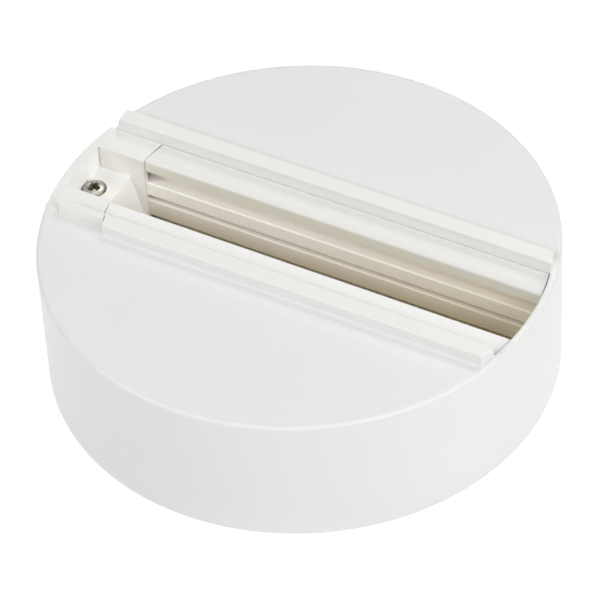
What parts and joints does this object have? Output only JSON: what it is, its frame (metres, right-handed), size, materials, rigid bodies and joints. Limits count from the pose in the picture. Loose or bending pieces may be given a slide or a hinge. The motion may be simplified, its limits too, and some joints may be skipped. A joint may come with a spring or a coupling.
{
  "type": "track power feed canopy",
  "caption": "Round white ceiling canopy with a short three-circuit track across its face, wired inside, held by one screw to a steel strap.",
  "frame": {"origin": "centre of the open rim, on the plane that meets the ceiling", "axes": "+Z from the rim to the slotted face; +X along the slot, away from the end with the retaining screw"},
  "size_m": [0.13, 0.13, 0.0401],
  "materials": {
    "white_moulding": "fine satin moulded surface",
    "white_profile": "satin, slightly warmer than the cover",
    "white_end_piece": "satin, slightly warm",
    "ivory_insulator": "extruded, soft sheen along its length",
    "copper": "drawn copper bar",
    "brass": "turned or rolled, plain",
    "nickel_steel": "nickel plated",
    "zinc_steel": "zinc plated, rolled",
    "grey_nylon": "moulded",
    "tinned_copper": "tinned, stamped",
    "brown_sleeve": "soft wire sleeve",
    "black_sleeve": "soft wire sleeve",
    "grey_sleeve": "soft wire sleeve",
    "blue_sleeve": "soft wire sleeve",
    "green_yellow_sleeve": "green and yellow wire sleeve"
  },
  "bodies": {
    "root": {"canopy_shell": "white_moulding", "track_body": "white_profile", "insulator_far": "ivory_insulator", "insulator_near": "ivory_insulator", "conductor_line_1": "copper", "conductor_line_2": "copper", "conductor_line_3": "copper", "conductor_neutral": "copper", "earth_strip": "brass", "feed_end_piece": "white_end_piece", "retaining_screw": "nickel_steel", "screw_pillar": "zinc_steel", "mounting_strap": "zinc_steel", "terminal_block": "grey_nylon", "terminal_tubes": "brass", "terminal_screws": "zinc_steel", "block_screws": "zinc_steel", "track_screws": "zinc_steel", "lead_line_1": "brown_sleeve", "lead_line_2": "black_sleeve", "lead_line_3": "grey_sleeve", "lead_neutral": "blue_sleeve", "lead_earth": "green_yellow_sleeve", "strap_earth_lead": "green_yellow_sleeve", "earth_lug": "tinned_copper", "earth_screw": "zinc_steel"}
  },
  "joints": []
}
